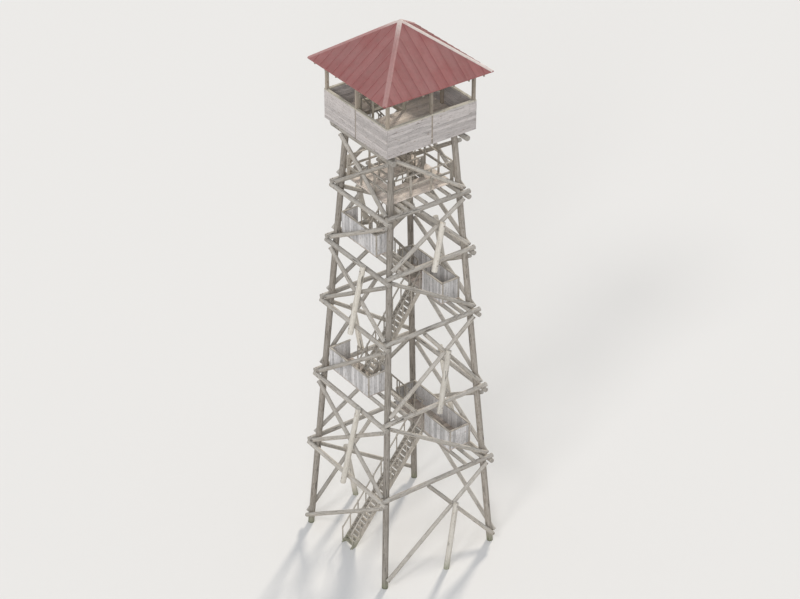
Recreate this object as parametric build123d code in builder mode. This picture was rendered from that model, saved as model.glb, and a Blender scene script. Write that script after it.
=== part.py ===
from build123d import *
from math import atan, ceil, cos, pi, sin, sqrt, tan
import os

# A fire lookout tower of peeled logs: four leaning legs, rings of lapped beams, braced sides,
# a stair that turns at five landings, and an open cabin under a pyramid roof. All sizes are
# in millimetres, the origin is on the ground at the middle, and +Z is up.
# The sides are front (-Y), right (+X), back (+Y) and left (-X).

# Legs
base_half = 3250
head_half = 1730
leg_diameter = 320
leg_head_gap = 30

# Heights from each ring of beams to the next one up, and from the top ring to the cabin's floor
storey_rise = {"e": 5100, "d": 4200, "c": 4300, "b": 3400, "a": 3000}
cabin_rise = 3700
beam_diameter = 250
beam_tip = 400

# Braces and props on the outer side of the legs
brace_diameter = 220
brace_end_gap = 60
brace_past_leg = 50
brace_foot_z = 350
short_brace_share = 0.4
short_brace_gap = 3
prop_diameter = 290
prop_foot_u = 100
prop_head_share = 0.4
prop_past = 180
prop_ease = 1

# Logs have few flats, and pieces that seat on each other keep a hair's gap
log_sides = 12
seat_gap = 0.3

# Landings: which side of the tower each lies on, and how near its inner edge is to the middle
landing_side = {"b": -1, "c": 1, "d": -1, "e": 1}
landing_edge = {"b": 1000, "c": 1200, "d": 1200, "e": 1500}
landing_right = {"b": 900, "c": 1700, "d": 900, "e": 2050}
joist_diameter = 200
joist_spacing = 600
deck_thickness = 50
deck_leg_gap = 30
deck_split = 6

# Guards round the landings
guard_height = 1100
guard_board = 30
guard_post = 80
guard_rail_width = 90
guard_rail_depth = 50
open_guard_spacing = 1300
open_guard_mid = 500

# Stair flights
stair_width = 800
stringer_thickness = 60
stringer_drop = 330
stringer_rise = 60
riser = 210
tread_depth = 240
tread_thickness = 45
well_margin = 70
well_headroom = 2000
rail_height = 950
rail_thickness = 60
rail_drop = 100
baluster_width = 50
baluster_spacing = 500
# The flight up to each level: the middle of its lane, and where its foot stands on the floor below
lane_x = {"e": -550, "d": -1500, "c": -400, "b": -1350, "a": -50, "cabin": -980}
foot_y = {"e": -2900, "d": 2200, "c": -1900, "b": 1750, "a": -1400, "cabin": 1300}
deck_a_head_y = 1000
cabin_head_y = -1200

# Cabin
cabin_half = 2465
bearer_diameter = 280
bearer_inset = 40
cabin_board = 50
cabin_joist_depth = 220
cabin_joist_width = 140
cabin_joist_spacing = 600
cladding_below_floor = 300
cladding_thickness = 30
parapet_height = 1200
parapet_rail_width = 140
parapet_rail_depth = 60
post_size = 140
plate_width = 140
plate_depth = 160

# Roof
eave_half = 2985
eave_height = 2700
roof_rise = 2200
roof_thickness = 40
rafter_width = 80
rafter_depth = 140
rafter_spacing = 950
rafter_tail_inset = 60
hip_cap_flange = 110
hip_cap_thickness = 6
hip_cap_inset = 40

ring_levels = {}
ring_z = 0
for level, rise in storey_rise.items():
    ring_z += rise
    ring_levels[level] = ring_z
cabin_floor_z = ring_levels["a"] + cabin_rise
cladding_foot_z = cabin_floor_z - cladding_below_floor
parapet_rail_z = cabin_floor_z + parapet_height
eave_z = cabin_floor_z + eave_height
joist_foot_z = cabin_floor_z - cabin_board - cabin_joist_depth
leg_head_z = joist_foot_z - leg_head_gap
lean = (base_half - head_half) / leg_head_z
slope_stretch = sqrt(1 + lean**2)
leg_radius = leg_diameter / 2
flat_share = tan(pi / log_sides)
pitch = roof_rise / eave_half

SIDES = ("front", "right", "back", "left")
os.makedirs("parts", exist_ok=True)


def save(builder, name):
    """Names a finished piece and writes it."""
    builder.part.label = name
    export_step(builder.part, f"parts/{name}.step")


def half_width(z):
    """Distance of a leg's axis from either middle plane of the tower at height z."""
    return base_half - lean * z


def turned(side, x, y, z):
    """Turns a point or direction of the front side round to another side."""
    quarter = SIDES.index(side)
    for _ in range(quarter):
        x, y = -y, x
    return Vector(x, y, z)


def on_side(side, u, z, outward):
    """A point of a leaning side: u along it, at height z, outward from the legs' axes."""
    return turned(side, u, -(half_width(z) + outward * slope_stretch), z)


def side_normal(side):
    return turned(side, 0, -1, lean)


def section_plane(start, end, facing):
    """The plane of a log's end, with its y axis towards the direction facing."""
    along = end - start
    return Plane(origin=start, x_dir=along.cross(facing) * -1, z_dir=along)


def log(start, end, diameter, facing):
    """A straight log with one of its flats turned towards the direction facing."""
    with BuildSketch(section_plane(start, end, facing)) as section:
        RegularPolygon(diameter / 2, log_sides, major_radius=False, rotation=180 / log_sides)
    extrude(section.sketch, amount=(end - start).length)


def block(x0, x1, y0, y1, z0, z1):
    """A plain board or timber between two corners."""
    with BuildSketch(Plane.XY.offset(z0)) as outline:
        with Locations(((x0 + x1) / 2, (y0 + y1) / 2)):
            Rectangle(x1 - x0, y1 - y0)
    extrude(outline.sketch, amount=z1 - z0)


def spread(first, last, spacing):
    """Evenly spaced places from first to last, at most the spacing apart."""
    count = ceil(abs(last - first) / spacing)
    return [first + (last - first) * i / count for i in range(count + 1)]


# Legs, cut level at the ground and under the cabin's joists
for name, sx, sy in (
    ("leg_front_left", -1, -1),
    ("leg_front_right", 1, -1),
    ("leg_back_right", 1, 1),
    ("leg_back_left", -1, 1),
):
    foot = Vector(sx * half_width(-leg_diameter), sy * half_width(-leg_diameter), -leg_diameter)
    head_z = leg_head_z + leg_diameter
    head = Vector(sx * half_width(head_z), sy * half_width(head_z), head_z)
    with BuildPart() as leg:
        with BuildSketch(Plane(origin=foot, z_dir=head - foot)):
            Circle(leg_radius)
        extrude(amount=(head - foot).length)
        split(bisect_by=Plane.XY, keep=Keep.TOP)
        split(bisect_by=Plane.XY.offset(leg_head_z), keep=Keep.BOTTOM)
    save(leg, name)


# Rings: the front and back beams lie under the ends of the right and left ones
def beam_offset(z, diameter):
    """Distance of a level beam's axis from the middle, its flat against the legs."""
    touch_z = z - diameter / 2 * flat_share
    return half_width(touch_z) + leg_radius * slope_stretch + seat_gap + diameter / 2


def beam_axis_z(level, side, diameter):
    """Height of a ring's beam: under the ring's level in front, above it at the right."""
    if side in ("front", "back"):
        return level - diameter / 2
    return level + seat_gap + diameter / 2


def ring_beams(level, diameter, tip):
    for side in SIDES:
        z = beam_axis_z(level, side, diameter)
        out = -beam_offset(z, diameter)
        reach = half_width(z) + tip
        log(turned(side, -reach, out, z), turned(side, reach, out, z), diameter, Vector(0, 0, 1))


for name, level in ring_levels.items():
    with BuildPart() as ring:
        ring_beams(level, beam_diameter, beam_tip)
    save(ring, f"ring_{name}")

cabin_ring_z = joist_foot_z - bearer_diameter - 2 * seat_gap
cabin_tip = cabin_half - cladding_thickness - half_width(cabin_ring_z) - bearer_inset
with BuildPart() as cabin_ring:
    ring_beams(cabin_ring_z, bearer_diameter, cabin_tip)
save(cabin_ring, "cabin_ring")


# Storeys between rings, each with the clear heights at the front and at the right
def storey_ends(lower, upper, side):
    """Heights of the top of the beam below and the underside of the beam above."""
    above_size = bearer_diameter if upper == "cabin" else beam_diameter
    above_level = cabin_ring_z if upper == "cabin" else ring_levels[upper]
    above = beam_axis_z(above_level, side, above_size) - above_size / 2
    if lower == "ground":
        return brace_foot_z, above
    return beam_axis_z(ring_levels[lower], side, beam_diameter) + beam_diameter / 2, above


climb = ["ground", *storey_rise, "cabin"]
storeys = list(zip(climb, climb[1:]))
brace_radius = brace_diameter / 2
brace_out = leg_radius + seat_gap + brace_radius


def brace_points(side, lower, upper, rising, head_share=1.0):
    """Axis ends of a brace that rises to the right (+1) or to the left (-1) of its side."""
    foot_z, top_z = storey_ends(lower, upper, side)
    foot_z += brace_radius + brace_end_gap
    top_z -= brace_radius + brace_end_gap
    foot_u = -rising * (half_width(foot_z) + brace_past_leg)
    if head_share < 1:
        head_u = rising * half_width(top_z) * (1 - 2 * head_share)
        angle = atan((top_z - foot_z) / abs(head_u - foot_u))
        top_z += brace_radius * (1 - cos(angle)) + brace_end_gap - short_brace_gap
    else:
        head_u = rising * (half_width(top_z) + brace_past_leg)
    return on_side(side, foot_u, foot_z, brace_out), on_side(side, head_u, top_z, brace_out)


def notched_brace(side, through, cut):
    """A brace in two lengths that butt against the one that runs through."""
    log(*cut, brace_diameter, side_normal(side))
    with BuildSketch(section_plane(*through, side_normal(side))) as housing:
        Rectangle(brace_diameter + 2 * seat_gap, 2 * brace_diameter)
    extrude(housing.sketch, amount=(through[1] - through[0]).length, mode=Mode.SUBTRACT)
    log(*through, brace_diameter, side_normal(side))


def crossing(first, second):
    """Where two braces of one side cross."""
    a, b = first
    c, d = second
    along = b - a
    across = (d - c).cross(Vector(*along.cross(d - c)))
    return a + along * ((c - a).dot(across) / along.dot(across))


props = {side: [] for side in SIDES}
for side in SIDES:
    plain_face = side in ("front", "back")
    with BuildPart() as braces:
        for number, (lower, upper) in enumerate(reversed(storeys)):
            rising = brace_points(side, lower, upper, 1)
            falling = brace_points(side, lower, upper, -1)
            if plain_face and number % 2 == 0:
                notched_brace(side, rising, falling)
            elif plain_face:
                log(*rising, brace_diameter, side_normal(side))
            elif number % 2 == 0:
                log(*falling, brace_diameter, side_normal(side))
            else:
                short = brace_points(side, lower, upper, -1, short_brace_share)
                notched_brace(side, rising, short)
                props[side].append((lower, upper, crossing(rising, short)))
    save(braces, f"braces_{side}")

# Props: thick logs outside the braces, which lean on the beams' outer sides
prop_radius = prop_diameter / 2
prop_out_beam = (
    leg_radius + (beam_diameter + 2 * seat_gap) + 2 * lean * beam_diameter / 2 * flat_share + prop_radius
)
prop_out_brace = leg_radius + brace_diameter + 4 * seat_gap + prop_ease + prop_radius
for side in SIDES:
    with BuildPart() as prop:
        if side in ("front", "back"):
            for lower, upper in (("c", "b"), ("e", "d")):
                foot_z = ring_levels[lower] - beam_diameter - prop_past
                head_z = ring_levels[upper] + prop_past
                head_u = half_width(head_z) * prop_head_share
                log(
                    on_side(side, prop_foot_u, foot_z, prop_out_beam),
                    on_side(side, head_u, head_z, prop_out_beam),
                    prop_diameter,
                    side_normal(side),
                )
        else:
            for lower, upper, cross in props[side]:
                seat_z = 0
                if lower != "ground":
                    seat_z = beam_axis_z(ring_levels[lower], side, beam_diameter) + beam_diameter / 2
                seat = on_side(side, prop_foot_u, seat_z, prop_out_beam)
                cross_u = turned(SIDES[-SIDES.index(side) % 4], *cross).X
                head = on_side(side, cross_u, cross.Z, prop_out_brace)
                past = (head - seat).normalized()
                foot = seat - past * (beam_diameter + prop_past)
                log(foot, head + past * prop_past, prop_diameter, side_normal(side))
            split(bisect_by=Plane.XY, keep=Keep.TOP)
    save(prop, f"props_{side}")


# Landings: log joists across the right and left beams, and a board deck on them
def floor_z(level):
    """Walking height of the ground, of the landing at a ring, or of the cabin."""
    if level == "ground":
        return 0
    if level == "cabin":
        return cabin_floor_z
    return ring_levels[level] + beam_diameter + 2 * seat_gap + joist_diameter + deck_thickness + seat_gap


def joist_reach(level):
    """Half the length of a joist, out to the beams' outer sides."""
    beam_z = beam_axis_z(ring_levels[level], "right", beam_diameter)
    return beam_offset(beam_z, beam_diameter) + beam_diameter / 2


def joist(x0, x1, y, level):
    z = floor_z(level) - deck_thickness - seat_gap - joist_diameter / 2
    log(Vector(x0, y, z), Vector(x1, y, z), joist_diameter, Vector(0, 0, 1))


def guard_top(level):
    return floor_z(level) + guard_height


def deck_outer(level):
    """The deck's outer edge stands on the legs' line at the top of its guard."""
    return half_width(guard_top(level))


def deck_side(level):
    """The deck stops short of the legs on each hand."""
    return half_width(guard_top(level)) - leg_radius * slope_stretch - deck_leg_gap


def last_joist(level):
    """The joist beside the legs."""
    beside_legs = half_width(floor_z(level)) - leg_radius * slope_stretch
    return beside_legs - deck_leg_gap - joist_diameter / 2


for level, way in landing_side.items():
    edge = landing_edge[level]
    top = floor_z(level)
    with BuildPart() as landing:
        for y in spread(edge + joist_diameter / 2, last_joist(level), joist_spacing):
            joist(-joist_reach(level), joist_reach(level), way * y, level)
        y_ends = sorted((way * edge, way * deck_outer(level)))
        block(-deck_side(level), landing_right[level], *y_ends, top - deck_thickness, top)
    save(landing, f"landing_{level}")


def below(level):
    """The level that the flight up to this one starts from."""
    return climb[climb.index(level) - 1]


def head_y(level):
    """Where the flight up to a level meets its floor."""
    if level == "a":
        return deck_a_head_y
    if level == "cabin":
        return cabin_head_y
    return landing_side[level] * landing_edge[level]


def well(level, thickness):
    """The ends along X and Y of a stair well, long enough for a person to clear the floor's edge."""
    half = stair_width / 2 + well_margin
    low, high = floor_z(below(level)), floor_z(level)
    share = (high - thickness - well_headroom - low) / (high - low)
    clear_y = foot_y[level] + (head_y(level) - foot_y[level]) * share
    return (lane_x[level] - half, lane_x[level] + half), sorted((clear_y, head_y(level)))


# The deck at the top ring fills the tower round the well of its flight
top_a = floor_z("a")
well_a_x, well_a_y = well("a", deck_thickness + joist_diameter)


def floor_round_well(half_x, half_y, well_x, well_y, z0, z1):
    """A board floor in four fields round a stair well."""
    block(-half_x, half_x, -half_y, well_y[0], z0, z1)
    block(-half_x, half_x, well_y[1], half_y, z0, z1)
    block(-half_x, well_x[0], well_y[0] + deck_split, well_y[1] - deck_split, z0, z1)
    block(well_x[1], half_x, well_y[0] + deck_split, well_y[1] - deck_split, z0, z1)


with BuildPart() as landing_a:
    half_joist = joist_diameter / 2
    reach = joist_reach("a")
    for y in spread(-last_joist("a"), well_a_y[0] - half_joist, joist_spacing):
        joist(-reach, reach, y, "a")
    for y in spread(well_a_y[1] + half_joist, last_joist("a"), joist_spacing):
        joist(-reach, reach, y, "a")
    trim_z = top_a - deck_thickness - seat_gap - half_joist
    trim_ends = (well_a_y[0] + seat_gap, well_a_y[1] - seat_gap)
    for x in (well_a_x[0] - half_joist, well_a_x[1] + half_joist):
        log(Vector(x, trim_ends[0], trim_z), Vector(x, trim_ends[1], trim_z), joist_diameter, Vector(0, 0, 1))
    for y in spread(*well_a_y, joist_spacing)[1:-1]:
        joist(-reach, well_a_x[0] - joist_diameter - seat_gap, y, "a")
        joist(well_a_x[1] + joist_diameter + seat_gap, reach, y, "a")
    floor_round_well(deck_side("a"), deck_outer("a"), well_a_x, well_a_y, top_a - deck_thickness, top_a)
save(landing_a, "landing_a")


# Guards: posts and a rail inside a board skirt along each open edge
def guard_along_x(x0, x1, y, inside, z0, z1):
    """A guard panel along X at the deck's edge y, its posts on the side named by inside."""
    board = sorted((y, y + inside * guard_board))
    block(x0, x1, *board, z0 + seat_gap, z1 - guard_rail_depth)
    near = y + inside * (guard_board + seat_gap)
    post = sorted((near, near + inside * guard_post))
    for x in (x0, x1 - guard_post):
        block(x, x + guard_post, *post, z0 + seat_gap, z1 - guard_rail_depth)
    rail = sorted((y, y + inside * guard_rail_width))
    block(x0, x1, *rail, z1 - guard_rail_depth + seat_gap, z1)


def guard_along_y(x, y0, y1, inside, z0, z1):
    """A guard panel along Y at the deck's edge x."""
    board = sorted((x, x + inside * guard_board))
    block(*board, y0, y1, z0 + seat_gap, z1 - guard_rail_depth)
    rail = sorted((x, x + inside * guard_rail_width))
    block(*rail, y0, y1, z1 - guard_rail_depth + seat_gap, z1)


corner = guard_board + guard_post + 2 * seat_gap
for level, way in landing_side.items():
    z0, z1 = floor_z(level), guard_top(level)
    left, right = -deck_side(level), landing_right[level]
    outer, inner = way * deck_outer(level), way * landing_edge[level]
    above = climb[climb.index(level) + 1]
    stair_right = max(lane_x[level], lane_x[above]) + stair_width / 2 + rail_thickness
    y_ends = sorted((outer - way * corner, inner + way * corner))
    with BuildPart() as guard:
        guard_along_x(left, right, outer, -way, z0, z1)
        guard_along_x(stair_right + well_margin, right, inner, way, z0, z1)
        guard_along_y(left, *y_ends, 1, z0, z1)
        guard_along_y(right, *y_ends, -1, z0, z1)
    save(guard, f"guard_{level}")


def open_guard(x0, x1, y0, y1, floor):
    """An open guard on a strip of floor: posts, a rail over them, and one between them."""
    along_x = x1 - x0 > y1 - y0
    rail_z = floor + guard_height - guard_rail_depth
    mid_z = floor + open_guard_mid

    def part(start, end, z0, z1):
        if along_x:
            block(start, end, y0, y1, z0, z1)
        else:
            block(x0, x1, start, end, z0, z1)

    low, high = (x0, x1) if along_x else (y0, y1)
    posts = spread(low, high - guard_post, open_guard_spacing)
    for post in posts:
        part(post, post + guard_post, floor + seat_gap, rail_z - seat_gap)
    for post, following in zip(posts, posts[1:]):
        part(post + guard_post + seat_gap, following - seat_gap, mid_z, mid_z + guard_rail_width)
    part(low, high, rail_z, floor + guard_height)


# The top deck's guards are open, along its edges and on two sides of the stair well
with BuildPart() as guard_a:
    side_a, outer_a = deck_side("a"), deck_outer("a")
    inner_a = outer_a - guard_post - seat_gap
    open_guard(-side_a, side_a, -outer_a, guard_post - outer_a, top_a)
    open_guard(-side_a, side_a, outer_a - guard_post, outer_a, top_a)
    open_guard(-side_a, guard_post - side_a, -inner_a, inner_a, top_a)
    open_guard(side_a - guard_post, side_a, -inner_a, inner_a, top_a)
    well_edge = well_a_y[0] - seat_gap
    open_guard(well_a_x[0], well_a_x[1] + guard_post, well_edge - guard_post, well_edge, top_a)
    open_guard(well_a_x[1], well_a_x[1] + guard_post, *well_a_y, top_a)
save(guard_a, "guard_a")


# Stair flights
def flight_parts(level):
    """Stringers, treads and handrails of the flight up to a level."""
    x_mid = lane_x[level]
    y0, y1 = foot_y[level], head_y(level)
    z0, z1 = floor_z(below(level)), floor_z(level)
    way = 1 if y1 > y0 else -1
    rise = z1 - z0
    run = abs(y1 - y0) - seat_gap
    steep = rise / run
    steps = round(rise / riser)

    def line(share_y):
        return z0 + steep * share_y

    for hand in (-1, 1):
        outer_x = x_mid + hand * stair_width / 2
        inner_x = outer_x - hand * stringer_thickness
        with BuildSketch(Plane.YZ.offset(min(outer_x, inner_x))) as stringer:
            with BuildLine():
                foot_back = (stringer_rise - seat_gap) / steep
                drop_run = stringer_drop / steep
                Polyline(
                    (y0 - way * foot_back, z0 + seat_gap),
                    (y0 + way * drop_run, z0 + seat_gap),
                    (y0 + way * run, z1 - stringer_drop),
                    (y0 + way * run, z1),
                    (y0 + way * (run - stringer_rise / steep), z1),
                    close=True,
                )
            make_face()
        extrude(stringer.sketch, amount=stringer_thickness)
    tread_x = (x_mid - stair_width / 2 + stringer_thickness, x_mid + stair_width / 2 - stringer_thickness)
    for i in range(1, steps):
        top = z0 + rise * i / steps
        nosing = run * i / steps - run / steps / 2
        y_ends = sorted((y0 + way * nosing, y0 + way * (nosing + tread_depth)))
        block(tread_x[0] + seat_gap, tread_x[1] - seat_gap, *y_ends, top - tread_thickness, top)
    for hand in (-1, 1):
        outer_x = x_mid + hand * stair_width / 2
        rail_x = sorted((outer_x, outer_x - hand * rail_thickness))
        with BuildSketch(Plane.YZ.offset(rail_x[0])) as rail:
            with BuildLine():
                Polyline(
                    (y0, line(0) + rail_height),
                    (y0 + way * run, line(run) + rail_height),
                    (y0 + way * run, line(run) + rail_height - rail_drop),
                    (y0, line(0) + rail_height - rail_drop),
                    close=True,
                )
            make_face()
        extrude(rail.sketch, amount=rail_thickness)
        post_x = sorted((outer_x + hand * seat_gap, outer_x + hand * (seat_gap + baluster_width)))
        for share in spread(baluster_width, run - baluster_width, baluster_spacing):
            y_ends = sorted((y0 + way * (share - baluster_width / 2), y0 + way * (share + baluster_width / 2)))
            low = max(line(share) - stringer_drop / 2, z0 + seat_gap)
            block(*post_x, *y_ends, low, line(share) + rail_height - rail_drop / 2)


for level in climb[1:]:
    with BuildPart() as flight:
        flight_parts(level)
    save(flight, f"flight_{climb.index(level)}")

# Cabin floor: joists on the ring and boards round the hatch of the last flight
hatch_x, hatch_y = well("cabin", cabin_board + cabin_joist_depth)
joist_z = (joist_foot_z, joist_foot_z + cabin_joist_depth)
inside_cladding = cabin_half - cladding_thickness - seat_gap
joist_end = inside_cladding
with BuildPart() as cabin_joists:
    half = cabin_joist_width / 2
    edge_y = inside_cladding - half
    for y in spread(-edge_y, hatch_y[0] - half, cabin_joist_spacing):
        block(-joist_end, joist_end, y - half, y + half, *joist_z)
    for y in spread(hatch_y[1] + half, edge_y, cabin_joist_spacing):
        block(-joist_end, joist_end, y - half, y + half, *joist_z)
    for x in (hatch_x[0] - cabin_joist_width, hatch_x[1]):
        block(x, x + cabin_joist_width, hatch_y[0] + seat_gap, hatch_y[1] - seat_gap, *joist_z)
    for y in spread(*hatch_y, cabin_joist_spacing)[1:-1]:
        block(-joist_end, hatch_x[0] - cabin_joist_width - seat_gap, y - half, y + half, *joist_z)
        block(hatch_x[1] + cabin_joist_width + seat_gap, joist_end, y - half, y + half, *joist_z)
save(cabin_joists, "cabin_joists")

with BuildPart() as cabin_floor:
    floor_round_well(
        inside_cladding, inside_cladding, hatch_x, hatch_y, cabin_floor_z - cabin_board + seat_gap, cabin_floor_z
    )
save(cabin_floor, "cabin_floor")

with BuildPart() as hatch_guard:
    hatch_edge = hatch_y[1] + seat_gap
    open_guard(hatch_x[0] - guard_post, hatch_x[0], *hatch_y, cabin_floor_z)
    open_guard(hatch_x[1], hatch_x[1] + guard_post, *hatch_y, cabin_floor_z)
    open_guard(
        hatch_x[0] - guard_post, hatch_x[1] + guard_post, hatch_edge, hatch_edge + guard_post, cabin_floor_z
    )
save(hatch_guard, "hatch_guard")

# Parapets: boards outside the floor's edge, and a rail over them
rail_foot_z = parapet_rail_z - parapet_rail_depth


def wall_board(side, reach, depth, z0, z1):
    """A board along a side of the cabin, its face flush with the cabin's outside."""
    start = turned(side, -reach, -cabin_half, z0)
    end = turned(side, reach, -cabin_half + depth, z1)
    block(*sorted((start.X, end.X)), *sorted((start.Y, end.Y)), z0, z1)


for side in SIDES:
    butts = side in ("right", "left")
    board_reach = cabin_half - butts * (cladding_thickness + seat_gap)
    rail_reach = cabin_half - butts * (parapet_rail_width + seat_gap)
    with BuildPart() as parapet:
        wall_board(side, board_reach, cladding_thickness, cladding_foot_z, rail_foot_z - seat_gap)
        wall_board(side, rail_reach, parapet_rail_width, rail_foot_z, parapet_rail_z)
    save(parapet, f"parapet_{side}")

# Roof planes
slope_angle = atan(pitch)
hip_angle = atan(pitch / sqrt(2))
roof_drop = roof_thickness / cos(slope_angle)
rafter_top = roof_drop + seat_gap
rafter_foot = rafter_top + rafter_depth / cos(slope_angle)


def slope_z(out):
    """Height of the roof's surface at a distance from the middle."""
    return eave_z + (eave_half - out) * pitch


# Posts at the corners and the middle of each side, below and above the parapet rail
post_edge = cabin_half - cladding_thickness - 2 * seat_gap
post_mid = post_edge - post_size / 2
plate_outer_z = slope_z(post_edge) - rafter_foot - seat_gap
plate_foot_z = plate_outer_z - plate_depth
post_places = [(x, y) for x in (-post_mid, 0, post_mid) for y in (-post_mid, 0, post_mid) if x or y]
with BuildPart() as cabin_posts:
    for z0, z1 in ((cabin_floor_z, rail_foot_z), (parapet_rail_z, plate_foot_z)):
        with BuildSketch(Plane.XY.offset(z0 + seat_gap)):
            with Locations(*post_places):
                Rectangle(post_size, post_size)
        extrude(amount=z1 - z0 - 2 * seat_gap)
save(cabin_posts, "cabin_posts")


def sloping_timber(side, u, width, profile):
    """A timber square to a side of the cabin, from a profile of places (out, z)."""
    plane = Plane(
        origin=turned(side, u + width / 2, 0, 0),
        x_dir=turned(side, 0, -1, 0),
        z_dir=turned(side, -1, 0, 0),
    )
    with BuildSketch(plane) as section:
        with BuildLine():
            Polyline(*profile, close=True)
        make_face()
    extrude(section.sketch, amount=width)


# Wall plates, their tops bevelled to the rafters
with BuildPart() as wall_plates:
    plate_inner = post_edge - plate_width
    for side in SIDES:
        reach = post_edge if side in ("front", "back") else plate_inner - seat_gap
        profile = (
            (plate_inner, plate_foot_z),
            (post_edge, plate_foot_z),
            (post_edge, plate_outer_z),
            (plate_inner, plate_outer_z + plate_width * pitch),
        )
        sloping_timber(side, 0, 2 * reach, profile)
save(wall_plates, "wall_plates")

# Roof slopes, mitred where they meet on the hips
for side in SIDES:
    with BuildPart() as slope:
        profile = (
            (0, slope_z(0)),
            (eave_half, eave_z),
            (eave_half, eave_z - roof_drop),
            (0, slope_z(0) - roof_drop),
        )
        sloping_timber(side, 0, 2 * eave_half, profile)
        for hand in (-1, 1):
            mitre = Plane(origin=turned(side, 0, -seat_gap, 0), z_dir=turned(side, hand, 1, 0))
            split(bisect_by=mitre, keep=Keep.BOTTOM)
    save(slope, f"roof_{side}")


def along_hip(hand_x, hand_y, profile, start, end):
    """A piece along a hip from a profile square to it, between two distances up the hip."""
    corner = Vector(hand_x * eave_half, hand_y * eave_half, eave_z)
    up_hip = Vector(-hand_x, -hand_y, sqrt(2) * tan(hip_angle)).normalized()
    across = Vector(hand_x * hand_y, -1, 0)
    plane = Plane(origin=corner + up_hip * start, x_dir=across * hand_x, z_dir=up_hip)
    with BuildSketch(plane) as section:
        with BuildLine():
            Polyline(*profile, close=True)
        make_face()
    extrude(section.sketch, amount=end - start)


# Rafters: hips planed to sit on the plates' corners, and jacks between them
hip_length = eave_half * sqrt(2) / cos(hip_angle)
flange_fall = sin(hip_angle)
hip_top = -roof_drop * cos(hip_angle) - rafter_width / 2 * flange_fall - 2 * seat_gap
plate_corner_lift = pitch * rafter_width / 2 / sqrt(2)
hip_foot = -(rafter_foot - plate_corner_lift) * cos(hip_angle)
hip_profile = (
    (-rafter_width / 2, hip_top),
    (rafter_width / 2, hip_top),
    (rafter_width / 2, hip_foot),
    (-rafter_width / 2, hip_foot),
)
corners = ((1, 1), (-1, 1), (-1, -1), (1, -1))
with BuildPart() as rafters:
    for side in SIDES:
        for u in spread(-eave_half + rafter_spacing / 2, eave_half - rafter_spacing / 2, rafter_spacing):
            head = abs(u) + rafter_width * (1 + sqrt(2)) / 2 + seat_gap
            tail = eave_half - rafter_tail_inset
            profile = (
                (head, slope_z(head) - rafter_top),
                (tail, slope_z(tail) - rafter_top),
                (tail, slope_z(tail) - rafter_foot),
                (head, slope_z(head) - rafter_foot),
            )
            sloping_timber(side, u, rafter_width, profile)
    hip_end = hip_length - (rafter_width / 2 + seat_gap) / cos(hip_angle) + hip_foot * tan(hip_angle)
    for hand_x, hand_y in corners:
        along_hip(hand_x, hand_y, hip_profile, rafter_tail_inset + rafter_depth, hip_end)
save(rafters, "rafters")

# Hip caps: folded strips over the joints of the slopes
cap_low = seat_gap / cos(atan(flange_fall))
cap_high = (seat_gap + hip_cap_thickness) / cos(atan(flange_fall))
flange_drop = hip_cap_flange * flange_fall
cap_profile = (
    (0, cap_high),
    (hip_cap_flange, cap_high - flange_drop),
    (hip_cap_flange, cap_low - flange_drop),
    (0, cap_low),
    (-hip_cap_flange, cap_low - flange_drop),
    (-hip_cap_flange, cap_high - flange_drop),
)
with BuildPart() as hip_caps:
    for hand_x, hand_y in corners:
        with BuildPart(mode=Mode.PRIVATE) as hip_cap:
            along_hip(hand_x, hand_y, cap_profile, hip_cap_inset, hip_length + hip_cap_flange)
            split(bisect_by=Plane(origin=(hand_x * seat_gap, 0, 0), z_dir=(hand_x, 0, 0)), keep=Keep.TOP)
            split(bisect_by=Plane(origin=(0, hand_y * seat_gap, 0), z_dir=(0, hand_y, 0)), keep=Keep.TOP)
        add(hip_cap.part)
save(hip_caps, "hip_caps")
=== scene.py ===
# %% [markdown]
# # A fire lookout tower of peeled logs
# The CAD model gives each log, board and sheet its true place and size, with flat sides. This script
# keeps those places and gives every piece the surface of the real thing: round weathered logs,
# separate boards, bolts where logs cross, and a sheet metal roof with standing seams. Each piece is
# read from the solid that it stands for, so nothing here is placed by hand.

# %% Load the tower
import math
import random
from types import SimpleNamespace

import bmesh
import bpy
from mathutils import Matrix, Vector


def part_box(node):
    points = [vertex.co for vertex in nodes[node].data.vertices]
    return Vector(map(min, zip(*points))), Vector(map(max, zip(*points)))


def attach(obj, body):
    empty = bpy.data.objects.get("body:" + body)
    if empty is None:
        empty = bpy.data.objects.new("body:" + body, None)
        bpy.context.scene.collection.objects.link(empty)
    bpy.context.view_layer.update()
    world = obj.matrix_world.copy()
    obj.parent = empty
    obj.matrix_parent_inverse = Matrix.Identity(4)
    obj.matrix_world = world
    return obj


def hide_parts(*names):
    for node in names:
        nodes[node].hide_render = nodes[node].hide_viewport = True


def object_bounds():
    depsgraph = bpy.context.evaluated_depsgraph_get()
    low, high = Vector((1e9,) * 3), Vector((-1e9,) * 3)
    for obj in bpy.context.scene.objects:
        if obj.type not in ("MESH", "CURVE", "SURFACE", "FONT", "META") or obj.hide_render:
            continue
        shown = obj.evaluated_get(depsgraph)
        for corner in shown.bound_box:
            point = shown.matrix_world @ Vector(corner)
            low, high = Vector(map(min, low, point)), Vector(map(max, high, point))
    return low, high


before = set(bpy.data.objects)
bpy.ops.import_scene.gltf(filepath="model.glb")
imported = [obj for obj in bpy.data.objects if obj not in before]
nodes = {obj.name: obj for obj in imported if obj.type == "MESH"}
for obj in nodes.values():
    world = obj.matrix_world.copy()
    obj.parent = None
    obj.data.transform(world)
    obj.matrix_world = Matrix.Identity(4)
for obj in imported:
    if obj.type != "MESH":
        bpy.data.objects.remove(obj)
cad_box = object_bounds()
scene = bpy.context.scene
print("nodes:", len(nodes), "box:", cad_box)

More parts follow.
